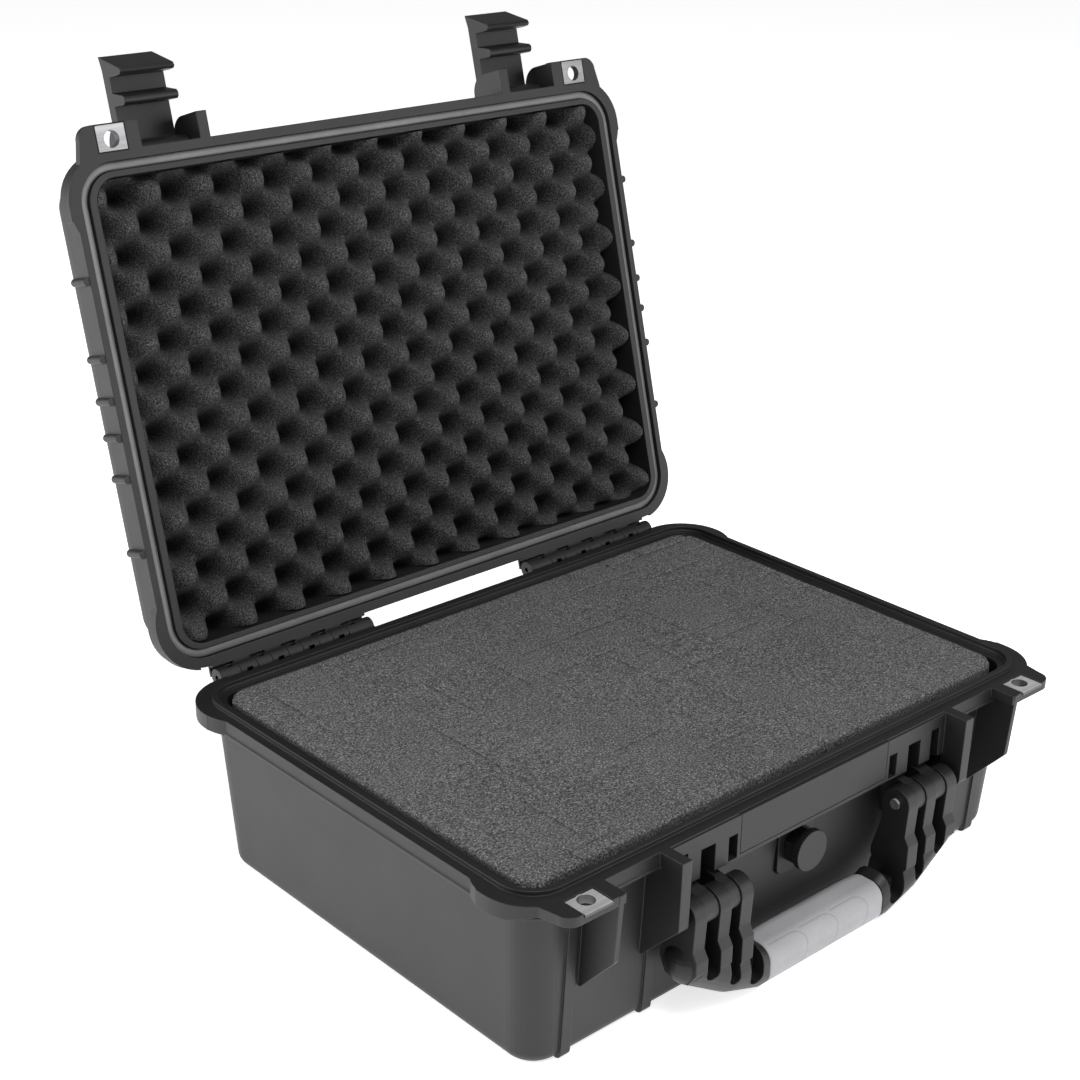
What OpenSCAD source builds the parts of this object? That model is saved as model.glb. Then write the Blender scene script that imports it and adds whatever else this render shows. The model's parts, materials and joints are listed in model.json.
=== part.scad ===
// Hard equipment case: a foam-filled base and lid on a rear hinge, drawn with the lid open.
// Two latches hang on the lid, and a carrying handle and a pressure valve are on the front.
// +X is the width, the front faces -Y, +Z is up, and the origin is the middle of the flat bottom.

/* [Case] */
// Width over the flanges, without the corner bumpers
flange_w = 404; // [398:1:420]
// Depth over the flanges, without the latches and hinges
flange_d = 295; // [290:1:310]
// Height of the base, from the bottom to the parting plane
base_h = 106.5; // [106.5:0.5:125]
// Height of the closed lid above the parting plane
lid_h = 50; // [46:1:65]
// How far the lid stands open
open_angle = 104.45; // [95:0.05:110]

/* [Walls] */
// Height of the flange round the base
flange_t = 9; // [8:0.5:9]
// Height of the skirt round the lid
skirt_t = 16; // [15:0.5:17]
// Gap between the closed lid and the base
seam = 0.4; // [0.3:0.1:0.6]
// Thickness of the floor of the base and of the top of the lid
floor_t = 3.5; // [3:0.5:5]
// How far each wall leans in from its top to its bottom
draft = 5.5; // [4:0.5:6]

/* [Foam] */
// Height of the pad on the floor of the base
pad_h = 10; // [6:1:14]
// How far the top of the foam stands above the parting plane
foam_proud = 0.5; // [0:0.1:0.5]

/* [Latches] */
// Middle of each latch, measured from the middle of the case
latch_x = 134.1; // [134:0.1:135]
// Width of each latch
latch_w = 35; // [30:1:35]

/* [Handle] */
// Half the length of the grip between its collars
grip_half = 46.5; // [44:0.5:48]
// Side of the rounded square section of the grip
grip_side = 24; // [22:0.5:24]

/* [Padlock holes] */
// Distance of each padlock hole from the middle of the case
padlock_x = 172; // [170:0.5:174]
// Radius of each padlock hole
padlock_r = 4.7; // [4:0.1:5]

/* [Hidden] */

$fn = 64;
hull_fn = 40;
eps = 0.01;
fit = 0.05;          // radial clearance of a turning fit
press = 0.02;        // radial clearance of a fixed pin
side_gap = 0.3;      // gap between faces that slide past each other

case_black = [0.13, 0.13, 0.14];
foam_grey = [0.23, 0.23, 0.24];
steel = [0.78, 0.79, 0.80];
grip_grey = [0.72, 0.73, 0.74];
seal_black = [0.08, 0.08, 0.09];

half_w = flange_w / 2;
half_d = flange_d / 2;

// Flange, walls and opening. Heights with _z are measured from the parting plane.
flange_r = 26;
wall_in = 8.5;                         // from the flange's edge to the wall, at the parting plane
wall_w = flange_w - 2 * wall_in;
wall_d = flange_d - 2 * wall_in;
wall_r = 17.5;
foot_fillet = 8;
opening_w = wall_w - 10.4;
opening_d = wall_d - 11;
opening_r = 13.5;
floor_fillet = 4;
lid_fillet = 9;
dome_fillet = 12;
inner_draft = 3.7;                     // lean of the inner faces
bead_t = 1.4;
bead_proud = 0.6;

// Tongue of the base, and the groove and gasket of the lid
tongue_w = flange_w - 13.4;            // over the middle of the tongue
tongue_d = flange_d - 16.4;
tongue_r = 20;
tongue_t = 3;
tongue_h = 2.5;
rim_step = 1.5;                        // the rim inside the tongue lies this much lower
gasket_t = 5.2;
gasket_face = tongue_h + 0.3;
groove_top = 6.4;

// Corner bumpers and padlock lugs
bumper_r = 30.2;
bumper_x = half_w - 26;
bumper_y = half_d - 28;
bumper_run = 6;                        // straight stretch beside each corner
bumper_slope = 3;                      // and the slope at its end
lug_front = half_d + 15;
lug_r = 8;
lug_side = padlock_x + 19.5;
base_lug_t = 5.4;
lid_lug_t = 4.6;
lid_bumper_t = 7.5;
lid_bumper_in = 1;                     // the bumpers of the lid are this much smaller
lid_bumper_end = 6;                    // the lid's rear bumpers stop this far beyond bumper_x
plate_w = 18;
plate_d = 14.4;
plate_t = 1.5;
plate_sunk = 0.5;
plate_gap = 0.5;
plate_out = [2, 0.8];                  // from hole to plate middle, in the base and in the lid
padlock_y = half_d + 6.3;
eyelet_t = 1;

// Hinge
hinge_y = half_d + 7.5;
hinge_z = -2.1;
hinge_r = 5.5;
hinge_cover_gap = 0.5;                 // from the knuckles to the cover the lid carries over them
hinge_cover_t = 1.5;
hinge_x0 = 64.5;
hinge_x1 = 174.5;
lid_knuckle_pitch = 22;
lid_knuckle_x0 = 88.8;
lid_knuckle_w = 12.2;
lid_knuckles = [0 : 3];
hinge_pin_r = 1.6;
window_w = 4;
window_d = 3;

// Latch bays. The fins stand on both sides of each latch, on the base and on the lid.
fin_inner_x0 = 109.5;
fin_inner_x1 = 116.2;
fin_outer_x0 = 154;
fin_outer_x1 = 158.5;
base_fin_x0 = 155.5;                   // inner face of the thinner outer fin of the base
fin_front = half_d + 15.5;
fin_round_z = -38;
fin_foot_z = -65;
fin_r = 4;
fin_lean = [0.7, 3];                   // lean of the inner and the outer fin, top to bottom
latch_y = -half_d + 1.5;
latch_z = 16;
latch_hub_r = 5;
latch_pin_r = 2;
lid_fin_y = -half_d - 1.5;
lid_fin_r = 12.5;
bay_floor_z = 8.4;

// Front apron, name panel and the slots above the handle
apron_front = half_d + 1.5;
apron_z0 = -26;
apron_z1 = -0.6;
apron_half = 112;
panel_half = 58.5;
panel_z0 = -23.5;
panel_t = 2;
groove = 0.45;
slot_depth = 9.5;

// Ribs on the front wall and gussets under the hinges
rib_proud = 1;
rib_t = 6.5;
rib_x = [105, 162];
rib_r = 4;
gusset_t = 3;
gusset_z = -30;

// Stacking bars on the lid and the recesses for them in the bottom
stack_x = 150;
stack_w = 16;
stack_d = 200;
stack_h = 1.5;
stack_gap = 0.5;

// Handle
handle_y = -half_d - 7;
handle_z = -38.5;
handle_pin_r = 2.5;
handle_head_r = 3;
handle_r = 9;
handle_knuckle_r = 8.2;
finger_step = 2;                       // the fingers step out by this much at the knee
finger_x = [[63, 71.5], [79, 87.3], [97, 105.5]];
finger_low_z = [-84, -80, -77];        // the fingers end at these heights, inside the lobe
finger_gap_z = [-87.5, -77];
finger_knee_z = -57;
collar_x1 = 52;
collar_gap_z = -96;                    // bottom of the gap between the collar and the fingers
lobe_outer = [97.5, -half_d - 5, -68.5];
lobe_outer_r = 13;
lobe_inner = [71, -half_d - 5, -84.5];
lobe_inner_r = 13.5;
grip_y = -half_d - 4.5;
grip_z = -92.5;
grip_r = 9;
core_d = 10;
core_h = 13;

// Valve
valve_z = -46;
valve_w = 30;
valve_h = 32;
valve_r = 6;
valve_floor_y = -half_d + 12.3;        // floor of the recess for the valve seat
valve_plate_t = 2.7;
valve_tube_r = 6;
valve_stem_r = 3;
valve_nut_r = 10;
valve_nut_t = 4.5;
valve_inner_y = -opening_d / 2 + inner_draft / 2;
knob_r = 12;
knob_t = 4;
knob_hex_r = 11.5;
knob_face_y = -half_d - 1.5;
knob_teeth = 40;
knob_tooth = 0.35;

// Foam
foam_split = 60;
foam_notch_w = 30;
foam_notch_d = 10;
foam_notch_h = 30;
foam_lift = 0.1;
foam_slack = 0.6;                      // from the foam of the lid to the wall round it
lid_foam_top = lid_h - floor_t - foam_lift;

// ---------- shapes used by several sub-parts ----------

// Point where the line from q touches the circle of radius r round c
function touch(c, r, q, side) =
    let (v = q - c, from = atan2(v[1], v[0]), turn = side * acos(r / norm(v)))
    c + r * [cos(from + turn), sin(from + turn)];

module both_sides() {
    children();
    mirror([1, 0, 0]) children();
}

// An outline in Y and Z, drawn out along X
module along_x(low, high) {
    translate([low, 0, 0]) rotate([90, 0, 90]) linear_extrude(high - low) children();
}

// An outline in X and Z, drawn out along Y
module along_y(low, high) {
    translate([0, high, 0]) rotate([90, 0, 0]) linear_extrude(high - low) children();
}

module along_z(low, high) {
    translate([0, 0, low]) linear_extrude(high - low) children();
}

module rod_x(low, high, y, z, r) {
    translate([low, y, z]) rotate([0, 90, 0]) cylinder(r = r, h = high - low);
}

module box(low, high) {
    translate(low) cube(high - low);
}

module round_rect(w, d, r) {
    if (w > 2 * r) square([w - 2 * r, d], center = true);
    square([w, d - 2 * r], center = true);
    for (x = [-1, 1], y = [-1, 1])
        translate([x * (w / 2 - r), y * (d / 2 - r)]) circle(r);
}

// A flat ring that follows a rounded rectangle, t wide and centred on its outline
module ring_2d(w, d, r, t) {
    difference() {
        round_rect(w + t, d + t, r + t / 2);
        round_rect(w - t, d - t, r - t / 2);
    }
}

// A block with leaning sides and a rounded lower edge. low and high are [width, depth, height].
module leaning_block(low, high, r, fillet) {
    hull() for (x = [-1, 1], y = [-1, 1]) {
        translate([x * (low[0] / 2 - r), y * (low[1] / 2 - r), low[2] + fillet])
            rotate_extrude($fn = hull_fn) intersection() {
                translate([r - fillet, 0]) circle(fillet, $fn = hull_fn);
                translate([0, -fillet]) square([r, 2 * fillet]);
            }
        translate([x * (high[0] / 2 - r), y * (high[1] / 2 - r), high[2] - 1])
            cylinder(r = r, h = 1, $fn = hull_fn);
    }
}

// Moves what is drawn from the parting plane to its height in the base
module on_base() {
    translate([0, 0, base_h]) children();
}

// Moves what is drawn for the closed lid to where the lid stands open
module on_lid() {
    translate([0, hinge_y, base_h + hinge_z]) rotate([-open_angle, 0, 0])
        translate([0, -hinge_y, -hinge_z]) children();
}

// ---------- outlines shared by the base and the lid ----------

module rear_bumper_2d(r) {
    intersection() {
        union() {
            translate([bumper_x, bumper_y]) circle(r);
            polygon([[bumper_x, bumper_y], [bumper_x + r, bumper_y],
                [bumper_x + r, bumper_y - bumper_run + bumper_slope],
                [half_w, bumper_y - bumper_run], [bumper_x, bumper_y - bumper_run]]);
        }
        translate([bumper_x, bumper_y - r]) square(2 * r);
    }
}

module front_bumper_2d(r) {
    end = -bumper_y + bumper_run;
    translate([bumper_x, -bumper_y]) circle(r);
    polygon([[bumper_x, -bumper_y], [bumper_x + r, -bumper_y], [bumper_x + r, end],
        [half_w, end + bumper_slope], [bumper_x, end + bumper_slope]]);
}

module lug_2d() {
    translate([lug_side - lug_r, -lug_front + lug_r]) circle(lug_r);
    polygon([[fin_outer_x0, -half_d + 7], [half_w - 12, -half_d + 7], [half_w - 8, -half_d + 4.5],
        [lug_side, -lug_front + lug_r], [lug_side - lug_r, -lug_front + lug_r],
        [lug_side - lug_r, -lug_front], [fin_outer_x0, -lug_front]]);
}

// Front corner of the base: its lower face rises from the flange to the thinner lug
module base_front_corner() {
    rise = [-bumper_y - 12, -bumper_y - 26];
    end = -lug_front - 1;
    intersection() {
        along_z(-flange_t, 0) {
            front_bumper_2d(bumper_r);
            lug_2d();
        }
        along_x(0, flange_w) polygon([[0, 0], [0, -flange_t], [rise[0], -flange_t],
            [rise[1], -base_lug_t], [end, -base_lug_t], [end, 0]]);
    }
}

// Hole, plate pocket and eyelet seat in a lug that reaches from low to high
module padlock_cut(low, high) {
    translate([padlock_x, -padlock_y, low - 1])
        cylinder(r = padlock_r + eyelet_t, h = high - low + 2);
}

module plate_pocket(out, low, high) {
    translate([padlock_x, -padlock_y - out, 0]) along_z(low, high)
        square([plate_w + 2 * plate_gap, plate_d + 2 * plate_gap], center = true);
}

// A steel plate with an eyelet that lines the padlock hole. face is the plate's outer face.
module padlock_plate(out, face, back, end) {
    translate([padlock_x, 0, 0]) difference() {
        union() {
            translate([0, -padlock_y - out, 0]) along_z(min(face, back), max(face, back))
                square([plate_w, plate_d], center = true);
            translate([0, -padlock_y, min(face, end)])
                cylinder(r = padlock_r + eyelet_t, h = abs(face - end));
        }
        translate([0, -padlock_y, min(face, end) - 1])
            cylinder(r = padlock_r, h = abs(face - end) + 2);
    }
}

// ---------- base ----------

module base_fin_2d(lean) {
    middle = [-fin_front + lean + fin_r, fin_round_z];
    foot = [-wall_d / 2 + 2, fin_foot_z];
    translate(middle) circle(fin_r);
    polygon([[foot[0] + 2, 0], [-fin_front, 0], [-fin_front + lean, fin_round_z], middle,
        touch(middle, fin_r, foot, -1), foot, [foot[0] + 2, fin_foot_z]]);
}

module base_fins() {
    along_x(fin_inner_x0, fin_inner_x1) base_fin_2d(fin_lean[0]);
    along_x(base_fin_x0, fin_outer_x1) base_fin_2d(fin_lean[1]);
}

module base_hinge() {
    difference() {
        union() {
            rod_x(hinge_x0, hinge_x1, hinge_y, hinge_z, hinge_r);
            box([hinge_x0, half_d - 1, -flange_t], [hinge_x1, hinge_y, -0.5]);
        }
        for (i = lid_knuckles)
            translate([lid_knuckle_x0 + i * lid_knuckle_pitch, half_d, -20])
                translate([-lid_knuckle_w / 2, 0, 0]) cube([lid_knuckle_w, 20, 40]);
        for (i = [0 : 4])
            translate([lid_knuckle_x0 + (i - 0.5) * lid_knuckle_pitch, hinge_y, hinge_z])
                translate([-window_w / 2, -window_d / 2, 0]) cube([window_w, window_d, 20]);
    }
    for (i = [0 : 4])
        translate([lid_knuckle_x0 + (i - 0.5) * lid_knuckle_pitch - gusset_t / 2, 0, 0])
            along_x(0, gusset_t) polygon([[wall_d / 2 - 3, gusset_z], [wall_d / 2 - 1, gusset_z],
                [hinge_y - 1, -flange_t], [hinge_y - 1, -flange_t + 1],
                [wall_d / 2 - 3, -flange_t + 1]]);
}

module apron() {
    along_x(-apron_half, apron_half) polygon([[-wall_d / 2 + 2, apron_z1],
        [-apron_front, apron_z1], [-apron_front, apron_z0], [-wall_d / 2 + 2, apron_z0 - 4]]);
}

module apron_slots() {
    slots = [[61, 67.7, -25, -10.5], [77.5, 88.2, -40, -9.7], [97.7, 105, -40, -7.7]];
    for (s = slots)
        box([s[0], -apron_front - 1, s[2]], [s[1], -apron_front + slot_depth, s[3]]);
}

// Knuckles that stand between the handle's fingers
module handle_knuckles() {
    for (i = [0, 1])
        along_x(finger_x[i][1] + side_gap, finger_x[i + 1][0] - side_gap) {
            translate([handle_y, handle_z]) circle(handle_knuckle_r);
            polygon([[handle_y, handle_z + handle_knuckle_r],
                [-wall_d / 2 + 2, handle_z + handle_knuckle_r + 3],
                [-wall_d / 2 + 2, handle_z - handle_knuckle_r - 7],
                [handle_y, handle_z - handle_knuckle_r]]);
        }
}

module front_ribs() {
    high = -wall_d / 2 - rib_proud;
    middle = [high + draft + rib_r, -base_h + rib_r + 0.3];
    for (x = rib_x)
        along_x(x, x + rib_t) {
            translate(middle) circle(rib_r);
            polygon([[high, -flange_t + 1], [high + draft, middle[1]], middle,
                [middle[0], middle[1] - rib_r], [middle[0] + 2, middle[1] - rib_r],
                [middle[0] + 2, -flange_t + 1]]);
        }
}

module stack_bars(grow, low, high) {
    both_sides() translate([stack_x, 0, 0]) along_z(low, high)
        round_rect(stack_w + 2 * grow, stack_d + 2 * grow, stack_w / 2 + grow);
}

module valve_recess() {
    translate([0, 0, valve_z]) {
        along_y(-half_d, valve_floor_y)
            round_rect(valve_w + 1, valve_h + 1, valve_r + 0.5);
        translate([0, valve_floor_y + 20, 0]) rotate([90, 0, 0])
            cylinder(r = valve_tube_r + press, h = 40);
    }
}

module base_outer() {
    translate([0, 0, -base_h])
        leaning_block([wall_w - 2 * draft, wall_d - 2 * draft, 0],
            [wall_w, wall_d, base_h - 1], wall_r, foot_fillet);
    along_z(-flange_t, 0) {
        round_rect(flange_w, flange_d, flange_r);
        both_sides() {
            rear_bumper_2d(bumper_r);
            translate([bumper_x - 5, bumper_y + 10]) square([5, bumper_r - 10]);
        }
    }
    along_z(-flange_t, -flange_t + bead_t)
        round_rect(flange_w + 2 * bead_proud, flange_d + 2 * bead_proud, flange_r + bead_proud);
    apron();
    both_sides() {
        base_front_corner();
        base_fins();
        base_hinge();
        handle_knuckles();
        front_ribs();
    }
}

module base_cuts() {
    translate([0, 0, -base_h])
        leaning_block([opening_w - 2 * inner_draft, opening_d - 2 * inner_draft, floor_t],
            [opening_w, opening_d, base_h + 1], opening_r, floor_fillet);
    along_z(-rim_step, 1)
        round_rect(tongue_w - tongue_t - 2, tongue_d - tongue_t - 2, tongue_r - tongue_t / 2 - 1);
    valve_recess();
    translate([0, 0, -base_h]) stack_bars(stack_gap, -1, stack_h + 0.3);
    box([-panel_half - groove, -apron_front - 1, panel_z0 - groove],
        [panel_half + groove, -apron_front + panel_t, 1]);
    both_sides() {
        rod_x(hinge_x0 - 1, hinge_x1 + 1, hinge_y, hinge_z, hinge_pin_r + press);
        rod_x(finger_x[0][0], finger_x[2][0], handle_y, handle_z, handle_pin_r + press);
        apron_slots();
        padlock_cut(-flange_t, 0);
        plate_pocket(plate_out[0], -plate_sunk - plate_t, 1);
    }
}

module base_shell() {
    color(case_black) on_base() {
        difference() {
            base_outer();
            base_cuts();
        }
        along_z(-0.5, tongue_h) ring_2d(tongue_w, tongue_d, tongue_r, tongue_t);
    }
}

// ---------- lid, drawn closed ----------

module lid_fin_2d() {
    back = -wall_d / 2 + 1;
    translate([lid_fin_y, latch_z]) circle(lid_fin_r);
    polygon([[back, seam], [lid_fin_y - lid_fin_r - 0.9, seam], [lid_fin_y - lid_fin_r, latch_z],
        [lid_fin_y, latch_z], [lid_fin_y, latch_z + lid_fin_r], [back, latch_z + lid_fin_r + 1.5]]);
}

module lid_fins() {
    along_x(fin_inner_x0, fin_inner_x1) lid_fin_2d();
    along_x(fin_outer_x0, fin_outer_x1) lid_fin_2d();
}

module lid_knuckle(x) {
    half = lid_knuckle_w / 2 - side_gap;
    difference() {
        union() {
            rod_x(x - half, x + half, hinge_y, hinge_z, hinge_r);
            box([x - half, half_d - 1, seam], [x + half, hinge_y, hinge_z + hinge_r]);
        }
        translate([x - window_w / 2, hinge_y - window_d / 2, hinge_z - 20])
            cube([window_w, window_d, 20]);
    }
}

// A strip along the lid's rim and over the knuckles of the base, clear of both as it turns
module hinge_cover() {
    near = hinge_r + hinge_cover_gap;
    box([hinge_x0, half_d - 1, seam], [hinge_x1, hinge_y - near, hinge_z + near + hinge_cover_t]);
    box([hinge_x0, hinge_y - near - 1, hinge_z + near],
        [hinge_x1, hinge_y, hinge_z + near + hinge_cover_t]);
}

// Half-round ribs across the side of the skirt, three each side of their middle
module skirt_ribs() {
    middle = -3.3;
    for (step = [10.3, 34, 77.1], side = [-1, 1])
        translate([half_w + 1.1, middle + side * step, 0]) {
            translate([0, 0, seam + 0.6]) cylinder(r = 2.4, h = skirt_t - seam - 1.1);
            translate([0, 0, skirt_t - 0.5]) sphere(2.4);
        }
}

module lid_outer() {
    dome = [wall_w - draft, wall_d - draft];
    mirror([0, 0, 1]) leaning_block([dome[0], dome[1], -lid_h],
        [wall_w, wall_d, -seam - 2], wall_r, dome_fillet);
    along_z(seam, skirt_t) round_rect(flange_w, flange_d, flange_r);
    along_z(seam, lid_bumper_t) both_sides() {
        front_bumper_2d(bumper_r - lid_bumper_in);
        intersection() {
            rear_bumper_2d(bumper_r - lid_bumper_in);
            translate([bumper_x + lid_bumper_end, 0]) square(flange_w);
        }
    }
    stack_bars(0, lid_h - 1, lid_h + stack_h);
    both_sides() {
        along_z(seam, seam + lid_lug_t) lug_2d();
        lid_fins();
        skirt_ribs();
        for (i = lid_knuckles) lid_knuckle(lid_knuckle_x0 + i * lid_knuckle_pitch);
        hinge_cover();
    }
}

module lid_cuts() {
    mirror([0, 0, 1]) leaning_block([opening_w - 2 * inner_draft, opening_d - 2 * inner_draft,
        -lid_h + floor_t], [opening_w, opening_d, 1], opening_r, lid_fillet);
    along_z(0, groove_top) ring_2d(tongue_w, tongue_d, tongue_r, gasket_t);
    both_sides() {
        box([fin_inner_x1, -fin_front - 5, bay_floor_z],
            [fin_outer_x0, -wall_d / 2 - 0.5, skirt_t + 1]);
        rod_x(fin_inner_x0 - 1, fin_outer_x1 + 1, latch_y, latch_z, latch_pin_r + press);
        rod_x(hinge_x0 - 1, hinge_x1 + 1, hinge_y, hinge_z, hinge_pin_r + fit);
        padlock_cut(0, seam + lid_lug_t);
        plate_pocket(plate_out[1], 0, seam + plate_t);
    }
}

module lid_shell() {
    color(case_black) on_lid() difference() {
        lid_outer();
        lid_cuts();
    }
}

module lid_gasket() {
    color(seal_black) on_lid() along_z(gasket_face, groove_top)
        ring_2d(tongue_w, tongue_d, tongue_r, gasket_t);
}

// ---------- foam ----------

module foam_slab(in, low, high) {
    along_z(low, high) round_rect(opening_w - 2 * in, opening_d - 2 * in, opening_r);
}

// Room for the valve nut at the front of a foam layer
module valve_notch() {
    box([-foam_notch_w / 2, -half_d, foam_split - foam_notch_h / 2],
        [foam_notch_w / 2, -opening_d / 2 + foam_notch_d, foam_split + foam_notch_h / 2]);
}

module bottom_foam_pad() {
    color(foam_grey) foam_slab(inner_draft + 4.6, floor_t + foam_lift, floor_t + pad_h);
}

module lower_pluck_foam() {
    color(foam_grey) difference() {
        foam_slab(inner_draft + 0.2, floor_t + pad_h + foam_lift, foam_split);
        valve_notch();
    }
}

module upper_pluck_foam() {
    color(foam_grey) difference() {
        foam_slab(2.1, foam_split + foam_lift, base_h + foam_proud);
        valve_notch();
    }
}

module lid_foam() {
    wide = opening_w - 2 * foam_slack;
    deep = opening_d - 2 * foam_slack;
    color(foam_grey) on_lid() mirror([0, 0, 1])
        leaning_block([wide - 2 * inner_draft, deep - 2 * inner_draft, -lid_foam_top],
            [wide, deep, -foam_proud - 0.5], opening_r - foam_slack, lid_fillet + foam_slack);
}

// ---------- small fixed pieces ----------

module name_panel() {
    color(case_black) on_base() box([-panel_half, -apron_front, panel_z0],
        [panel_half, -apron_front + panel_t - foam_lift, apron_z1]);
}

module base_plate() {
    color(steel) on_base() padlock_plate(plate_out[0], -plate_sunk,
        -plate_sunk - plate_t, -base_lug_t);
}

module lid_plate() {
    color(steel) on_lid() padlock_plate(plate_out[1], seam, seam + plate_t, seam + lid_lug_t);
}

module padlock_plate_base_right() { base_plate(); }
module padlock_plate_base_left() { mirror([1, 0, 0]) base_plate(); }
module padlock_plate_lid_right() { lid_plate(); }
module padlock_plate_lid_left() { mirror([1, 0, 0]) lid_plate(); }

module hinge_pin() {
    color(steel) on_base() rod_x(hinge_x0 + 1.5, hinge_x1 - 1.5, hinge_y, hinge_z, hinge_pin_r);
}

module hinge_pin_right() { hinge_pin(); }
module hinge_pin_left() { mirror([1, 0, 0]) hinge_pin(); }

// ---------- latches, drawn swung open on the closed lid ----------

// Outline of a latch round its pin: hub, web, hook bar and finger lip
module latch_2d() {
    hook = [-28.1, 0.9];
    hook_r = 2.7;
    web_in = 10;
    web_out = 17;
    circle(latch_hub_r);
    translate(hook) circle(hook_r);
    polygon([[-latch_hub_r, 0], [latch_hub_r, 0], [3.5, web_in], [-4, web_out], [-46, web_out],
        [-54, web_out + 1.5], [-45.6, -2.2], [-43.6, -3.2], [-42.2, -1.8], [-41.7, 3],
        [-41.7, web_in], [hook[0] - hook_r - 2, web_in], [hook[0] - hook_r, hook[1]],
        [hook[0] + hook_r, hook[1]], [hook[0] + hook_r, web_in], [-latch_hub_r - 1, web_in]]);
}

module latch() {
    color(case_black) on_lid() translate([0, latch_y, latch_z]) difference() {
        along_x(latch_x - latch_w / 2, latch_x + latch_w / 2) latch_2d();
        rod_x(0, 2 * latch_x, 0, 0, latch_pin_r + fit);
        box([latch_x - latch_w / 2 + 4.5, -43, 17 - 1.4], [latch_x + latch_w / 2 - 4.5, -24, 30]);
    }
}

module latch_pin() {
    color(steel) on_lid()
        rod_x(fin_inner_x0 + 1, fin_outer_x1 - 1, latch_y, latch_z, latch_pin_r);
}

module latch_right() { latch(); }
module latch_left() { mirror([1, 0, 0]) latch(); }
module latch_pin_right() { latch_pin(); }
module latch_pin_left() { mirror([1, 0, 0]) latch_pin(); }

// ---------- handle, drawn hanging down ----------

module grip_section() {
    translate([grip_y, grip_z]) round_rect(grip_side, grip_side, grip_r);
}

// Outline of a finger from its pin down into the lobe, in Y and Z
module finger_2d(low) {
    front = handle_y - handle_r - finger_step;
    back = grip_y + grip_side / 2;
    translate([handle_y, handle_z]) circle(handle_r);
    polygon([[handle_y - handle_r, handle_z], [handle_y - handle_r + 1, finger_knee_z],
        [front, finger_knee_z - 5], [front, low + 8], [grip_y - 8, low], [grip_y + 8, low],
        [back, low + 8], [back, low + 12], [back - 5.5, finger_knee_z + 5],
        [handle_y + handle_r, handle_z]]);
}

// An upright slot with a round bottom, in X and Z
module slot_2d(low, high, bottom) {
    r = (high - low) / 2;
    translate([low + r, bottom + r]) circle(r);
    translate([low, bottom + r]) square([high - low, 80]);
}

module bracket_lobe() {
    hull() {
        along_x(grip_half, collar_x1) grip_section();
        translate(lobe_outer) sphere(lobe_outer_r);
        translate(lobe_inner) sphere(lobe_inner_r);
    }
}

module handle_bracket() {
    difference() {
        union() {
            bracket_lobe($fn = 32);
            for (i = [0 : 2]) along_x(finger_x[i][0], finger_x[i][1]) finger_2d(finger_low_z[i]);
        }
        along_y(-200, -100) {
            slot_2d(collar_x1, finger_x[0][0], collar_gap_z);
            for (i = [0, 1]) slot_2d(finger_x[i][1], finger_x[i + 1][0], finger_gap_z[i]);
        }
        rod_x(finger_x[0][0] - 1, 120, handle_y, handle_z, handle_pin_r + fit);
    }
}

module handle_frame() {
    core_y = grip_y + 1;
    color(case_black) on_base() {
        both_sides() handle_bracket();
        box([-finger_x[0][0] - 1, core_y - core_d / 2, grip_z - core_h / 2],
            [finger_x[0][0] + 1, core_y + core_d / 2, grip_z + core_h / 2]);
    }
}

module handle_grip() {
    core_y = grip_y + 1;
    color(grip_grey) on_base() difference() {
        along_x(-grip_half + foam_lift, grip_half - foam_lift) grip_section();
        box([-grip_half, core_y - core_d / 2 - press, grip_z - core_h / 2 - press],
            [grip_half, core_y + core_d / 2 + press, grip_z + core_h / 2 + press]);
    }
}

module handle_pin() {
    low = finger_x[0][0] - 0.2;
    color(steel) on_base() {
        rod_x(low - 1, finger_x[2][1] - 2, handle_y, handle_z, handle_pin_r);
        rod_x(low - 1.5, low, handle_y, handle_z, handle_head_r);
    }
}

module handle_pin_right() { handle_pin(); }
module handle_pin_left() { mirror([1, 0, 0]) handle_pin(); }

// ---------- valve ----------

module rod_y(low, high, r) {
    translate([0, high, valve_z]) rotate([90, 0, 0]) cylinder(r = r, h = high - low);
}

module valve_seat() {
    back = valve_floor_y;
    color(case_black) on_base() difference() {
        union() {
            translate([0, 0, valve_z]) along_y(back - valve_plate_t, back)
                round_rect(valve_w, valve_h, valve_r);
            rod_y(back - 1, valve_inner_y + valve_nut_t + 1, valve_tube_r);
        }
        rod_y(back - 10, back + 20, valve_stem_r + fit);
        difference() {
            rod_y(back - 1, back + eps, valve_tube_r + 3.5);
            rod_y(back - 2, back + 1, valve_tube_r);
        }
    }
}

module valve_seal() {
    back = valve_floor_y;
    color(seal_black) on_base() difference() {
        rod_y(back - 1, back, valve_tube_r + 3.4);
        rod_y(back - 2, back + 1, valve_tube_r + press);
    }
}

module valve_nut() {
    low = valve_inner_y + side_gap;
    color(case_black) on_base() difference() {
        translate([0, 0, valve_z]) along_y(low, low + valve_nut_t)
            circle(valve_nut_r, $fn = 6);
        rod_y(low - 1, low + valve_nut_t + 1, valve_tube_r + press);
    }
}

module purge_knob() {
    hex_back = valve_floor_y - valve_plate_t - side_gap;
    color(case_black) on_base() {
        translate([0, 0, valve_z]) {
            along_y(knob_face_y, knob_face_y + knob_t)
                polygon([for (i = [0 : 2 * knob_teeth - 1])
                    let (r = knob_r - (i % 2) * knob_tooth, a = 180 * i / knob_teeth)
                    r * [cos(a), sin(a)]]);
            along_y(knob_face_y + knob_t - eps, hex_back) rotate(30) circle(knob_hex_r, $fn = 6);
        }
        rod_y(hex_back - 1, valve_floor_y + 8, valve_stem_r);
    }
}

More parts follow.
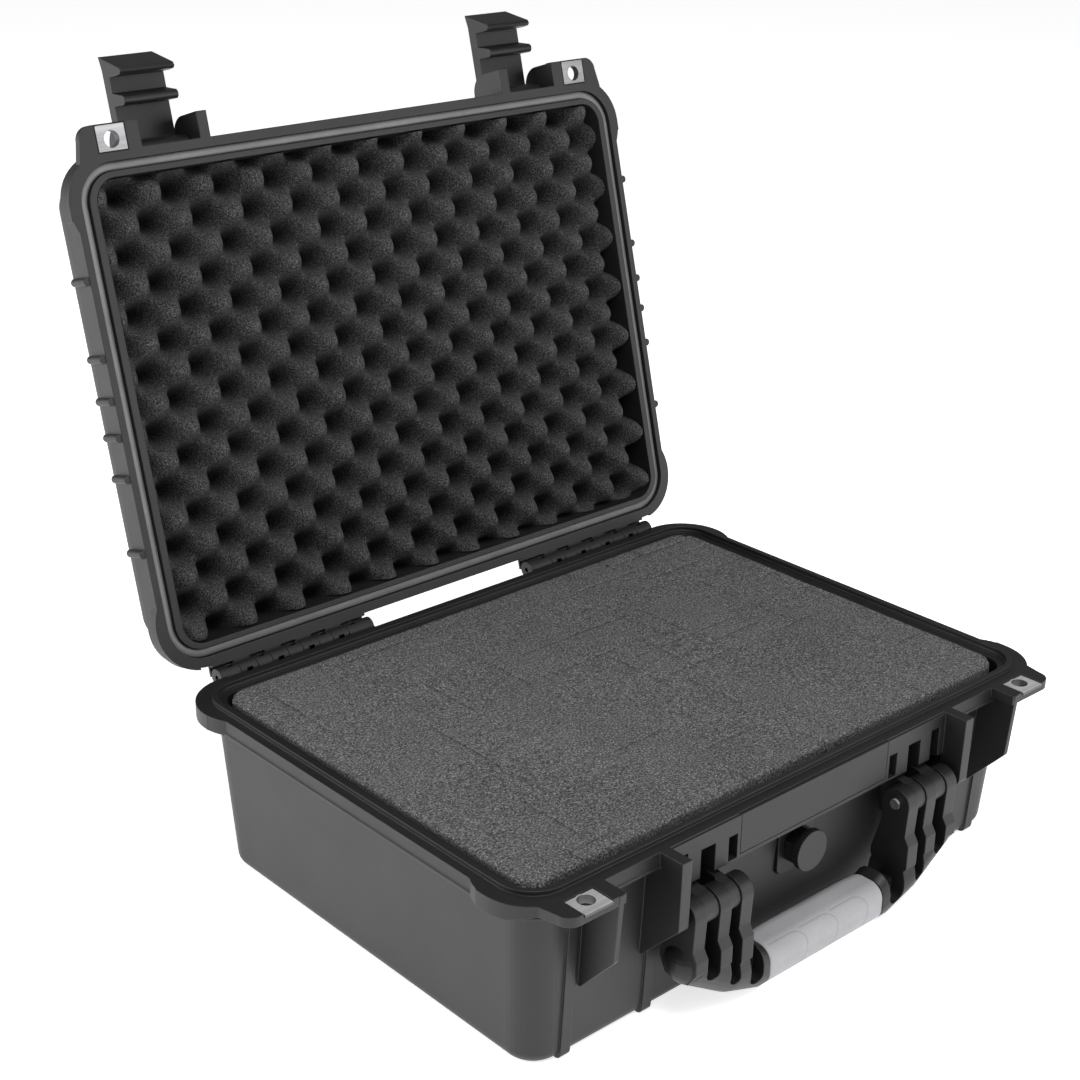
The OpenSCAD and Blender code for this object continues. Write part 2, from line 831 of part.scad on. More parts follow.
base_shell();
lid_shell();
bottom_foam_pad();
lower_pluck_foam();
upper_pluck_foam();
lid_foam();
lid_gasket();
name_panel();
padlock_plate_base_left();
padlock_plate_base_right();
padlock_plate_lid_left();
padlock_plate_lid_right();
hinge_pin_left();
hinge_pin_right();
latch_left();
latch_right();
latch_pin_left();
latch_pin_right();
handle_frame();
handle_grip();
handle_pin_left();
handle_pin_right();
valve_seat();
valve_seal();
valve_nut();
purge_knob();
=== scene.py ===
"""Looks of the hard equipment case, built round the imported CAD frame. Metres, +Z up, front faces -Y."""

import json
import math

import bmesh
import bpy
from mathutils import Matrix, Vector, noise


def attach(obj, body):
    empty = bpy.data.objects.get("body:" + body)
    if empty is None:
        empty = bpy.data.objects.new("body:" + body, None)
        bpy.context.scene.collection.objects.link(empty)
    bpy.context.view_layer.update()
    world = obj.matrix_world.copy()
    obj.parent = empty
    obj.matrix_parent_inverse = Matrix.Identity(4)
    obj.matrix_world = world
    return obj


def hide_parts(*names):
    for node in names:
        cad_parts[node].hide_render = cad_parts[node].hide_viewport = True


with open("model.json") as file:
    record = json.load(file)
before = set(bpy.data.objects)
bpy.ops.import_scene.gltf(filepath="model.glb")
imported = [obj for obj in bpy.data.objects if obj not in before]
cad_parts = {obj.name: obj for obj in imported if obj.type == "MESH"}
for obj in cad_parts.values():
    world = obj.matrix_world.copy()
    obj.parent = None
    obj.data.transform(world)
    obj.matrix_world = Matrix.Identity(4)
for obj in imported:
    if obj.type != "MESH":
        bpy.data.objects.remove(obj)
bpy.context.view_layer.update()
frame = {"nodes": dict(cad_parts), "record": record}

MM = 0.001
PARTING_Z = 106.5 * MM             # height of the parting plane
HINGE_Y = 155 * MM
HINGE_Z = -2.1 * MM                # measured from the parting plane
OPEN_ANGLE = math.radians(104.45)

# The lid is drawn closed, with heights measured from the parting plane, and then swung open
LID = (Matrix.Translation((0, HINGE_Y, PARTING_Z + HINGE_Z)) @ Matrix.Rotation(-OPEN_ANGLE, 4, "X")
       @ Matrix.Translation((0, -HINGE_Y, -HINGE_Z)))


# ---------- materials ----------

class Nodes:
    """Short names for building one material's node tree."""

    def __init__(self, name):
        self.material = bpy.data.materials.new(name)
        self.material.use_nodes = True
        self.tree = self.material.node_tree
        self.shader = self.tree.nodes["Principled BSDF"]
        self.coords = self.node("ShaderNodeTexCoord").outputs["Object"]

    def node(self, kind, **settings):
        made = self.tree.nodes.new(kind)
        for key, value in settings.items():
            setattr(made, key, value)
        return made

    def link(self, start, end):
        self.tree.links.new(start, end)

    def noise(self, scale, detail=2.0, stretch=(1, 1, 1)):
        """Noise of that many waves a metre, stretched along the axes."""
        mapping = self.node("ShaderNodeMapping")
        mapping.inputs["Scale"].default_value = stretch
        self.link(self.coords, mapping.inputs["Vector"])
        made = self.node("ShaderNodeTexNoise")
        made.inputs["Scale"].default_value = scale
        made.inputs["Detail"].default_value = detail
        self.link(mapping.outputs["Vector"], made.inputs["Vector"])
        return made.outputs["Fac"]

    def ramp(self, value, low, high, start, end):
        """The value, with low to high stretched to start to end and held there outside."""
        made = self.node("ShaderNodeMapRange")
        for key, number in zip(("From Min", "From Max", "To Min", "To Max"), (low, high, start, end)):
            made.inputs[key].default_value = number
        self.link(value, made.inputs["Value"])
        return made.outputs["Result"]

    def math(self, operation, a, b):
        made = self.node("ShaderNodeMath", operation=operation)
        for socket, value in zip(made.inputs, (a, b)):
            if isinstance(value, (int, float)):
                socket.default_value = value
            else:
                self.link(value, socket)
        return made.outputs[0]

    def mix(self, factor, first, second):
        """Mix of two colours, each an RGB triple or a socket."""
        made = self.node("ShaderNodeMix", data_type="RGBA")
        self.link(factor, made.inputs["Factor"])
        for socket, value in ((made.inputs[6], first), (made.inputs[7], second)):
            if isinstance(value, tuple):
                socket.default_value = (*value, 1)
            else:
                self.link(value, socket)
        return made.outputs[2]

    def round_edges(self, radius):
        """Normals as if each edge had that radius."""
        made = self.node("ShaderNodeBevel", samples=6)
        made.inputs["Radius"].default_value = radius
        return made.outputs["Normal"]

    def worn_edges(self, radius):
        """About 1 on sharp outer and inner edges, 0 on faces."""
        made = self.node("ShaderNodeVectorMath", operation="DOT_PRODUCT")
        self.link(self.round_edges(radius), made.inputs[0])
        self.link(self.node("ShaderNodeNewGeometry").outputs["True Normal"], made.inputs[1])
        return self.ramp(made.outputs["Value"], 0.995, 0.8, 0, 1)

    def bump(self, height, distance, strength=1.0, normal=None):
        made = self.node("ShaderNodeBump")
        made.inputs["Distance"].default_value = distance
        made.inputs["Strength"].default_value = strength
        self.link(height, made.inputs["Height"])
        if normal:
            self.link(normal, made.inputs["Normal"])
        return made.outputs["Normal"]

    def finish(self, color=None, roughness=None, normal=None, **constants):
        """Joins the sockets to the shader, and sets its constants, with _ for a space."""
        for key, value in constants.items():
            if key == "Emission_Strength":
                self.shader.inputs["Emission Color"].default_value = (1, 1, 1, 1)
            self.shader.inputs[key.replace("_", " ")].default_value = value
        if color:
            self.link(color, self.shader.inputs["Base Color"])
        if roughness:
            self.link(roughness, self.shader.inputs["Roughness"])
        if normal:
            self.link(normal, self.shader.inputs["Normal"])
        return self.material


def moulded_plastic(name, dark, light, texture=0.06 * MM, roughness=(0.46, 0.51), shine=0.45):
    """Black polypropylene with a fine grain, faint flow marks and slightly polished edges."""
    n = Nodes(name)
    grain = n.noise(1500, 3)
    cloud = n.ramp(n.noise(9, 4), 0.35, 0.7, 0, 1)
    body = n.mix(cloud, dark, light)
    speck = n.ramp(n.noise(700, 2), 0.62, 0.75, 0, 0.35)
    body = n.mix(speck, body, tuple(2.0 * c for c in light))
    wear = n.math("MULTIPLY", n.worn_edges(1.2 * MM), n.ramp(n.noise(60, 4), 0.35, 0.7, 0.1, 0.55))
    color = n.mix(wear, body, tuple(3.2 * c for c in light))
    rough = n.math("SUBTRACT", n.ramp(n.noise(35, 5), 0.3, 0.7, *roughness),
                   n.math("MULTIPLY", wear, 0.12))
    normal = n.bump(grain, texture, 0.6, n.round_edges(0.8 * MM))
    return n.finish(color, rough, normal, Specular_IOR_Level=shine)


def open_foam(name, dark, light, cell, pit_shade=0.0):
    """Open-cell foam: tiny pits and bright cell walls, with cell of them to a metre. The last
    argument is painted shade: it darkens the depths, by attribute."""
    n = Nodes(name)
    tone = n.noise(cell, 3)
    patch = n.ramp(n.noise(22, 3), 0.3, 0.7, 0.0, 0.15)
    color = n.mix(n.math("ADD", n.ramp(tone, 0.4, 0.62, 0, 0.85), patch), dark, light)
    color = n.mix(n.ramp(n.noise(1.25 * cell, 1), 0.58, 0.68, 0, 0.75), color,
                  tuple(2.2 * c for c in light))
    # painted shade: darker where the depth attribute is high, down in the pits
    if pit_shade:
        depth = n.node("ShaderNodeAttribute", attribute_name="depth").outputs["Fac"]
        color = n.mix(n.math("MULTIPLY", depth, pit_shade), color, tuple(0.3 * c for c in dark))
    normal = n.bump(tone, 0.6 * MM, 0.9)
    return n.finish(color, None, normal, Roughness=0.95, Specular_IOR_Level=0.2)


def seal_rubber(name, color, roughness):
    """Smooth grey rubber with faint lighter clouds."""
    n = Nodes(name)
    tint = n.mix(n.ramp(n.noise(40, 3), 0.35, 0.7, 0, 1), color, tuple(1.35 * c for c in color))
    return n.finish(tint, n.ramp(n.noise(120, 3), 0.3, 0.7, roughness, roughness + 0.08),
                    n.bump(n.noise(900, 2), 0.03 * MM, 0.5))


def brushed_steel(name, upright, dark, light, metal):
    """Fine scratches along X on bright sheet steel. Faces that don't look along upright, such
    as the inside of an eyelet, get painted shade: they are dark and not metallic."""
    n = Nodes(name)
    strokes = n.noise(260, 3, (0.06, 1, 1))
    fine = n.noise(1900, 2, (0.04, 1, 1))
    color = n.mix(n.ramp(strokes, 0.3, 0.7, 0, 1), dark, light)
    color = n.mix(n.ramp(n.noise(70, 4), 0.6, 0.75, 0, 0.4), color, tuple(0.6 * c for c in dark))
    look = n.node("ShaderNodeVectorMath", operation="DOT_PRODUCT")
    n.link(n.node("ShaderNodeTexCoord").outputs["Normal"], look.inputs[0])
    look.inputs[1].default_value = upright
    # painted shade: faces across upright, such as an eyelet's inside, turn dark and lose their metal
    inside = n.ramp(n.math("ABSOLUTE", look.outputs["Value"], 0), 0.3, 0.6, 0.9, 0)
    color = n.mix(inside, color, (0.02, 0.02, 0.021))
    normal = n.bump(fine, 0.03 * MM, 0.5, n.round_edges(0.4 * MM))
    n.link(n.ramp(inside, 0, 0.9, metal, 0), n.shader.inputs["Metallic"])
    return n.finish(color, n.ramp(fine, 0.3, 0.7, 0.28, 0.42), normal)


def grip_rubber(name):
    """Pale matt rubber with a fine grain. The line attribute darkens the engraved lines."""
    n = Nodes(name)
    cloud = n.ramp(n.noise(30, 4), 0.3, 0.7, 0, 1)
    color = n.mix(cloud, (0.30, 0.30, 0.315), (0.35, 0.35, 0.365))
    line = n.node("ShaderNodeAttribute", attribute_name="line").outputs["Fac"]
    color = n.mix(n.math("MULTIPLY", line, 0.45), color, (0.16, 0.16, 0.17))
    color = n.mix(n.ramp(n.noise(900, 2), 0.55, 0.75, 0, 0.3), color, (0.24, 0.24, 0.255))
    return n.finish(color, n.ramp(n.noise(200, 3), 0.3, 0.7, 0.5, 0.65),
                    n.bump(n.noise(1400, 3), 0.06 * MM, 0.6))


MATERIALS = {
    "case": moulded_plastic("case_plastic", (0.0075, 0.0075, 0.008), (0.0115, 0.0115, 0.012)),
    "fitting": moulded_plastic("fitting_plastic", (0.007, 0.007, 0.0075), (0.0105, 0.0105, 0.011),
                               0.04 * MM, (0.4, 0.45), 0.37),
    "foam": open_foam("pluck_foam", (0.032, 0.032, 0.033), (0.14, 0.14, 0.143), 860),
    # painted shade: the lid's foam is a darker copy of the pluck foam, as it stands upright and gets less
    # light, and 0.85 darkens its pits
    "shaded_egg_foam": open_foam("egg_crate_foam", (0.011, 0.011, 0.012), (0.074, 0.074, 0.076),
                          1050, 0.85),
    "seal": seal_rubber("seal_rubber", (0.12, 0.12, 0.122), 0.3),
    "steel": brushed_steel("brushed_steel_plate", (0, 0, 1),
                           (0.42, 0.42, 0.43), (0.66, 0.66, 0.67), 0.45),
    "lid_steel": brushed_steel("lid_steel_plate", LID.to_3x3() @ Vector((0, 0, 1)),
                               (0.2, 0.2, 0.205), (0.3, 0.3, 0.31), 1),
    "grip": grip_rubber("grip_rubber"),
}
# Nodes whose material isn't the one named like their slot
FITTINGS = ("latch_left", "latch_right", "handle_frame", "purge_knob", "valve_seat", "valve_nut")
LID_PLATES = ("padlock_plate_lid_left", "padlock_plate_lid_right")


def paint(obj, material):
    obj.data.materials.clear()
    obj.data.materials.append(MATERIALS[material])


def paint_cad_nodes():
    slots = {s["node"]: s["material_slot"] for s in frame["record"]["subparts"]}
    for name, obj in frame["nodes"].items():
        if name in FITTINGS:
            paint(obj, "fitting")
        elif name in LID_PLATES:
            paint(obj, "lid_steel")
        else:
            paint(obj, slots[name])


# ---------- meshes ----------

def piece(name, verts, faces, body, slot, material, *nodes):
    """A smooth mesh piece that rides on a body and stands for CAD nodes."""
    mesh = bpy.data.meshes.new(name)
    mesh.from_pydata(verts, [], faces)
    work = bmesh.new()
    work.from_mesh(mesh)
    bmesh.ops.remove_doubles(work, verts=work.verts, dist=0.02 * MM)
    bmesh.ops.recalc_face_normals(work, faces=work.faces)
    for face in work.faces:
        face.smooth = True
    work.to_mesh(mesh)
    work.free()
    obj = bpy.data.objects.new(name, mesh)
    bpy.context.scene.collection.objects.link(obj)
    paint(obj, material)
    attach(obj, body)
    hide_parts(*nodes)
    return obj


def edge_distance(x, y, half_w, half_d, r):
    """Distance from a rounded rectangle's outline, positive inside."""
    qx, qy = abs(x) - half_w + r, abs(y) - half_d + r
    outside = math.hypot(max(qx, 0), max(qy, 0))
    return r - outside - min(max(qx, qy), 0)


def onto_outline(x, y, half_w, half_d, r):
    """The point itself, or the nearest point of the corner's arc if it lies beyond that."""
    qx, qy = abs(x) - half_w + r, abs(y) - half_d + r
    length = math.hypot(qx, qy)
    if qx > 0 and qy > 0 and length > r:
        x = math.copysign(half_w - r + qx * r / length, x)
        y = math.copysign(half_d - r + qy * r / length, y)
    return x, y


def block(rows, columns, half_w, half_d, r, top, rings):
    """Verts and faces of a closed block: a top(x, y) surface on a grid, and rings of (inset, z)."""
    verts, faces = [], []
    for y in rows:
        for x in columns:
            px, py = onto_outline(x, y, half_w, half_d, r)
            verts.append((px, py, top(px, py)))
    wide, deep = len(columns), len(rows)
    for j in range(deep - 1):
        for i in range(wide - 1):
            a = j * wide + i
            faces.append((a, a + 1, a + wide + 1, a + wide))
    rim = (list(range(wide)) + [j * wide + wide - 1 for j in range(1, deep)]
           + [(deep - 1) * wide + i for i in range(wide - 2, -1, -1)]
           + [j * wide for j in range(deep - 2, 0, -1)])
    last = rim
    for inset, z in rings:
        ring = []
        for index in rim:
            x, y, _ = verts[index]
            ring.append(len(verts))
            verts.append((x * (1 - inset / half_w), y * (1 - inset / half_d), z))
        count = len(rim)
        for k in range(count):
            faces.append((last[k], last[(k + 1) % count], ring[(k + 1) % count], ring[k]))
        last = ring
    faces.append(tuple(last))
    return verts, faces


def lines(half, pitch, offsets, rim_steps):
    """Grid lines from -half to half: offsets in every pitch, and extra ones near both ends."""
    found = {round(s * (half - step), 6) for step in rim_steps for s in (-1, 1)}
    cells = int(half / pitch) + 2
    for cell in range(-cells, cells):
        for offset in offsets:
            at = cell * pitch + offset
            if abs(at) < half - rim_steps[-1] - 0.2 * MM:
                found.add(round(at, 6))
    return sorted(found)


# ---------- foam ----------

PITCH = 15 * MM                    # the pluck foam is precut in cubes of this size
FOAM_HALF_W, FOAM_HALF_D, FOAM_R = 186.2 * MM, 131.2 * MM, 13 * MM
FOAM_LOW = 60.1 * MM               # underside of the top layer
LOWER_HALF_W, LOWER_HALF_D, LOWER_LOW = 184.2 * MM, 129.2 * MM, 13.7 * MM  # second layer
PAD_HALF_W, PAD_HALF_D, PAD_LOW = 179.8 * MM, 124.8 * MM, 3.6 * MM  # pad on the floor
NOTCH_HALF_W, NOTCH_Y = 15.1 * MM, -123.3 * MM  # room for the valve's nut in the front
NOTCH_LOW, NOTCH_HIGH = 45 * MM, 75 * MM
CUT = 0.5 * MM                     # half width of a cut line's groove
CUT_DEPTH = 1.3 * MM               # where a cut stands open
CLOSED_DEPTH = 0.04                # depth of a closed cut, as a share of that
CUT_STRETCH = 3                    # a cut stays open or closed over this many squares
OPEN_FROM = 0.62                   # a stretch stands open if its hashed number is above this
CUBE_LEVELS = 0.18 * MM            # the cubes' tops differ by up to this much
CUBE_DOME = 0.1 * MM               # a cube's top is higher in its middle by this much
SWELL = 0.3 * MM                   # the whole sheet rises and falls by up to this much
RIM_R = 2 * MM                     # rounding of the rim
FRONT_GAP = 2.2 * MM               # the top layer is this much shorter at the front wall
WANDER = 0.9 * MM                  # its outline wanders by up to this much
LAYER_GAP = 0.6 * MM               # the hidden layers' tops stay this far below what lies on them
RIM_STEPS = (0, 0.3 * MM, 0.8 * MM, 1.6 * MM, 3 * MM)  # grid lines near a layer's rim


def clamped(value):
    """The value, held between 0 and 1."""
    return max(0.0, min(1.0, value))


def hashed(*values):
    """A repeatable number from 0 to 1."""
    return 0.5 + 0.5 * noise.noise(Vector([v * 0.731 + 3.7 for v in (*values, 0, 0)][:3]) * 1.9)


def cut_depth(x, y):
    """Depth of the groove at a point. Most of the cuts are closed tight, and a few stand open."""
    depth = 0.0
    for along, across in ((x, y), (y, x)):
        line = round(along / PITCH)
        off = abs(along - line * PITCH)
        if off < CUT:
            stretch = hashed(line * 2.3, round(across / (CUT_STRETCH * PITCH)) * 1.7,
                             4.0 if along is x else 9.0)
            share = clamped((stretch - OPEN_FROM) * 9)
            open_cut = CLOSED_DEPTH + (1 - CLOSED_DEPTH) * share
            depth = max(depth, CUT_DEPTH * open_cut * (1 - off / CUT))
    return depth


def pluck_top(x, y, height=PARTING_Z + 0.15 * MM):
    """Height of the precut face: each square stands at its own level, and the rim is rounded."""
    cell = (math.floor(x / PITCH), math.floor(y / PITCH))
    level = (hashed(cell[0] * 1.3, cell[1] * 2.1, 1.0) - 0.5) * CUBE_LEVELS
    u, v = x / PITCH - cell[0] - 0.5, y / PITCH - cell[1] - 0.5
    dome = CUBE_DOME * (1 - 4 * u * u) * (1 - 4 * v * v)
    swell = SWELL * noise.noise(Vector((x * 22, y * 22, 0.3)))
    edge = min(edge_distance(x, y, FOAM_HALF_W, FOAM_HALF_D, FOAM_R), RIM_R)
    fall = RIM_R - math.sqrt(max(0.0, RIM_R ** 2 - (RIM_R - edge) ** 2))
    return height + level + dome + swell - cut_depth(x, y) - fall


def pull_in(x, y):
    """The foam's outline isn't straight: it stands a little off the front wall, and wanders."""
    front = clamped((-y / FOAM_HALF_D - 0.8) / 0.2)
    waves = WANDER * noise.noise(Vector((x * 18, y * 18, 7.0)))
    side = clamped((abs(x) / FOAM_HALF_W - 0.85) / 0.15)
    return x - math.copysign(side * abs(waves) * 0.8, x), y + front * (FRONT_GAP + waves)


def notched(x, y, z):
    """Moves points of a foam's front back to leave room for the valve's nut."""
    if abs(x) < NOTCH_HALF_W and NOTCH_LOW <= z <= NOTCH_HIGH:
        y = max(y, NOTCH_Y)
    return x, y, z


def foam_layer(name, half_w, half_d, top, rings, node):
    """One layer of the base's foam, with grid lines along the cuts and in the cubes' middles."""
    offsets = (-CUT, -0.5 * CUT, 0, 0.5 * CUT, CUT, 3 * MM, 7.5 * MM, 12 * MM)
    columns = lines(half_w, PITCH, offsets, RIM_STEPS)
    rows = lines(half_d, PITCH, offsets, RIM_STEPS)
    verts, faces = block(rows, columns, half_w, half_d, FOAM_R, top, rings)
    if node == "upper_pluck_foam":
        verts = [(*pull_in(x, y), z) for x, y, z in verts]
    verts = [notched(*vert) for vert in verts]
    piece(name, verts, faces, "base", "foam", "foam", node)


def base_foam():
    """The two precut layers of pluck foam, and the plain pad under them."""
    foam_layer("pluck_foam_top", FOAM_HALF_W, FOAM_HALF_D, pluck_top,
               [(0, PARTING_Z - 8 * MM), (0.1 * MM, NOTCH_HIGH + 0.2 * MM),
                (0.1 * MM, NOTCH_HIGH), (0.4 * MM, FOAM_LOW + 2 * MM), (2 * MM, FOAM_LOW)],
               "upper_pluck_foam")
    foam_layer("pluck_foam_low", LOWER_HALF_W, LOWER_HALF_D,
               lambda x, y: pluck_top(x, y, FOAM_LOW - LAYER_GAP),
               [(0, NOTCH_LOW), (0, NOTCH_LOW - 0.2 * MM), (0, LOWER_LOW + 2 * MM),
                (1.2 * MM, LOWER_LOW)], "lower_pluck_foam")
    foam_layer("foam_pad", PAD_HALF_W, PAD_HALF_D,
               lambda x, y: pluck_top(x, y, LOWER_LOW - LAYER_GAP) + cut_depth(x, y),
               [(0, PAD_LOW + 2 * MM), (1.2 * MM, PAD_LOW)], "bottom_foam_pad")


WAVE_X, WAVE_Y = 17.2 * MM, 16.75 * MM   # half the distance between peaks, along X and Y
START_X, START_Y = -0.2 * MM, -0.2 * MM  # where one peak lies
ASKEW = 0.032                      # the sheet is cut askew, by this angle in radians
WAVE_H = 13 * MM                   # half the height from pits to peaks
WAVE_POWER = 0.9                   # below 1, peaks and pits are fuller than a cosine's
WAVE_ROUND = 0.22                  # how much the slopes are pulled towards the peaks
WOBBLE = 0.5 * MM                  # peaks and pits differ by up to this much
PEAK_Z = 0.7 * MM                  # the peaks come down to here above the parting plane
EGG_STEP = 1.7 * MM                # grid
EGG_HALF_W, EGG_HALF_D, EGG_R = 187.2 * MM, 132.4 * MM, 12.5 * MM


def egg_top(x, y):
    """Height of the wavy face above the parting plane, least at the peaks."""
    u, v = x + ASKEW * y - START_X, y - ASKEW * x - START_Y
    wave = math.cos(math.pi * u / WAVE_X) * math.cos(math.pi * v / WAVE_Y)
    wave = math.copysign(abs(wave) ** WAVE_POWER, wave)
    wave += WAVE_ROUND * (1 - wave * wave)
    wobble = WOBBLE * noise.noise(Vector((x * 30, y * 30, 2.0)))
    return PEAK_Z + WAVE_H * (1 - wave) + abs(wobble)


def egg_crate_foam():
    """The lid's wavy foam. Its depth attribute, 0 on the peaks to 1 in the pits, sets its painted shade.
    """
    columns = lines(EGG_HALF_W, EGG_STEP, (0,), (0, 0.6 * MM))
    rows = lines(EGG_HALF_D, EGG_STEP, (0,), (0, 0.6 * MM))
    verts, faces = block(rows, columns, EGG_HALF_W, EGG_HALF_D, EGG_R, egg_top,
                         [(1.6 * MM, 30 * MM), (3.2 * MM, 38 * MM), (6 * MM, 44 * MM),
                          (12.5 * MM, 46.2 * MM)])
    verts = [LID @ Vector(v) for v in verts]
    foam = piece("egg_crate_foam", verts, faces, "lid", "foam", "shaded_egg_foam", "lid_foam")
    depth = foam.data.attributes.new("depth", "FLOAT", "POINT")
    to_closed = LID.inverted()
    for vertex, value in zip(foam.data.vertices, depth.data):
        value.value = clamped(((to_closed @ vertex.co).z - PEAK_Z) / (2 * WAVE_H))


# ---------- rings and the grip ----------

def rounded_path(half_w, half_d, r, arc=16, straight=12):
    """Points of (x, y, outward x, outward y) round a rounded rectangle."""
    points = []
    for quarter in range(4):
        angle = quarter * math.pi / 2
        sx, sy = ((1, 1), (-1, 1), (-1, -1), (1, -1))[quarter]
        centre = Vector((sx * (half_w - r), sy * (half_d - r)))
        for k in range(arc + 1):
            a = angle + k * math.pi / 2 / arc
            out = Vector((math.cos(a), math.sin(a)))
            points.append((*(centre + r * out), *out))
        nx, ny = ((-1, 1), (-1, -1), (1, -1), (1, 1))[quarter]
        out = Vector(((0, 1), (-1, 0), (0, -1), (1, 0))[quarter])
        start = centre + r * out
        end = Vector((nx * (half_w - r), ny * (half_d - r))) + r * out
        for k in range(1, straight):
            points.append((*start.lerp(end, k / straight), *out))
    return points


def swept_ring(path, profile, matrix):
    """Verts and faces of a profile of (outward, height) swept round a path."""
    verts, faces = [], []
    count, wide = len(path), len(profile)
    for x, y, ox, oy in path:
        for out, z in profile:
            verts.append(matrix @ Vector((x + ox * out, y + oy * out, z)))
    for i in range(count):
        for k in range(wide):
            a, b = i * wide, ((i + 1) % count) * wide
            faces.append((a + k, a + (k + 1) % wide, b + (k + 1) % wide, b + k))
    return verts, faces


SEAL_HALF_W, SEAL_HALF_D, SEAL_R = 195.3 * MM, 139.3 * MM, 20 * MM


def gasket():
    """Soft sealing ring in the lid's rim, with rounded shoulders and a shallow crown."""
    half, face, back = 2.55 * MM, 2.8 * MM, 6.3 * MM
    profile = [(-half, back), (-half, face + 1.1 * MM), (-0.93 * half, face + 0.45 * MM),
               (-0.75 * half, face + 0.12 * MM), (-0.4 * half, face), (0, face - 0.08 * MM),
               (0.4 * half, face), (0.75 * half, face + 0.12 * MM),
               (0.93 * half, face + 0.45 * MM), (half, face + 1.1 * MM), (half, back)]
    verts, faces = swept_ring(rounded_path(SEAL_HALF_W, SEAL_HALF_D, SEAL_R), profile, LID)
    piece("lid_gasket_ring", verts, faces, "lid", "seal", "seal", "lid_gasket")


GRIP_HALF = 46.4 * MM              # half its length
GRIP_SIDE, GRIP_R = 12 * MM, 9 * MM  # half width and corner of its rounded square section
GRIP_CENTRE = Vector((0, -152 * MM, PARTING_Z - 92.5 * MM))
GRIP_GIRTH = 84 * MM
GRIP_TURNS, GRIP_STEPS = 160, 210  # mesh steps round it and along it
LINE_HALF_W, LINE_DEPTH = 0.65 * MM, 0.25 * MM  # of an engraved line
LOOP_HALF_L, LOOP_HALF_W, LOOP_R = 30 * MM, 11 * MM, 9 * MM  # the loop whose end the line follows
LONG_ARM, SHORT_ARM = 27 * MM, 13 * MM  # how much of the loop's two sides it follows
LINE_ENDS = (-17 * MM, 8 * MM, 33 * MM)  # places along the grip
LINE_MIDDLE = 39 * MM              # place round the grip
BELLY = 0.9 * MM                   # it is thicker in the middle of its upper inner side
END_IN, END_LENGTH = 0.7 * MM, 1.2 * MM  # its ends are drawn in, over that length
PLAIN_END = 3.5 * MM               # no lines this near to its ends


def corner_line(u, v, end, middle):
    """1 on a line that runs along the grip, turns down at end and comes a little way back."""
    reach = LONG_ARM if v < middle else SHORT_ARM
    if u < end - reach:
        return 0.0
    away = abs(edge_distance(u - end + LOOP_HALF_L, v - middle, LOOP_HALF_L, LOOP_HALF_W, LOOP_R))
    return max(0.0, 1 - away / LINE_HALF_W)


def grip_pattern(along, turn):
    """Fine engraved lines in three rows along the grip's front and its back, 1 on a line."""
    v = turn * GRIP_GIRTH
    best = 0.0
    for end in LINE_ENDS:
        for middle in (LINE_MIDDLE, LINE_MIDDLE - GRIP_GIRTH / 2, LINE_MIDDLE + GRIP_GIRTH / 2):
            best = max(best, corner_line(along, v, end, middle))
    return best * best * (3 - 2 * best)


def grip_outline(turn):
    """Point and outward direction of the grip's rounded square section."""
    angle = turn * 2 * math.pi
    direction = Vector((math.cos(angle), math.sin(angle)))
    low, high = 0.0, 2 * GRIP_SIDE
    for _ in range(30):
        middle = (low + high) / 2
        inside = edge_distance(*(direction * middle), GRIP_SIDE, GRIP_SIDE, GRIP_R) > 0
        low, high = (middle, high) if inside else (low, middle)
    return direction * low, direction


def grip():
    """The hand grip's sleeve. Its line attribute is 1 on the engraved lines."""
    verts, faces, marks = [], [], []
    outline = [grip_outline(k / GRIP_TURNS) for k in range(GRIP_TURNS)]
    for i in range(GRIP_STEPS + 1):
        along = -GRIP_HALF + 2 * GRIP_HALF * i / GRIP_STEPS
        end = GRIP_HALF - abs(along)
        belly = 1 - (along / GRIP_HALF) ** 4
        drawn_in = END_IN * max(0.0, 1 - end / END_LENGTH) ** 2
        for k, (point, out) in enumerate(outline):
            turn = k / GRIP_TURNS
            back = max(0.0, out.x + out.y) / 1.41
            rise = BELLY * belly * back - drawn_in
            mark = grip_pattern(along, turn) if end > PLAIN_END else 0.0
            p = point + out * (rise - LINE_DEPTH * mark)
            verts.append(GRIP_CENTRE + Vector((along, p.x, p.y)))
            marks.append(mark)
    for i in range(GRIP_STEPS):
        for k in range(GRIP_TURNS):
            a, b = i * GRIP_TURNS, (i + 1) * GRIP_TURNS
            n = (k + 1) % GRIP_TURNS
            faces.append((a + k, a + n, b + n, b + k))
    faces.append(tuple(range(GRIP_TURNS)))
    faces.append(tuple(range(GRIP_STEPS * GRIP_TURNS, (GRIP_STEPS + 1) * GRIP_TURNS)))
    sleeve = piece("grip_sleeve", verts, faces, "handle", "grip", "grip", "handle_grip")
    line = sleeve.data.attributes.new("line", "FLOAT", "POINT")
    for mark, value in zip(marks, line.data):
        value.value = mark


# ---------- stage ----------

def floor():
    """Wide pale floor. Its glow keeps it white round the object and leaves the shadows soft."""
    mesh = bpy.data.meshes.new("floor")
    size = 30
    mesh.from_pydata([(-size, -size, 0), (size, -size, 0), (size, size, 0), (-size, size, 0)],
                     [], [(0, 1, 2, 3)])
    obj = bpy.data.objects.new("floor", mesh)
    bpy.context.scene.collection.objects.link(obj)
    n = Nodes("pale_floor")
    obj.data.materials.append(n.finish(Base_Color=(0.95, 0.95, 0.95, 1), Roughness=0.9,
                                       Specular_IOR_Level=0.1, Emission_Strength=0.72))


LIGHT_TARGET = Vector((0, 0, 0.1))


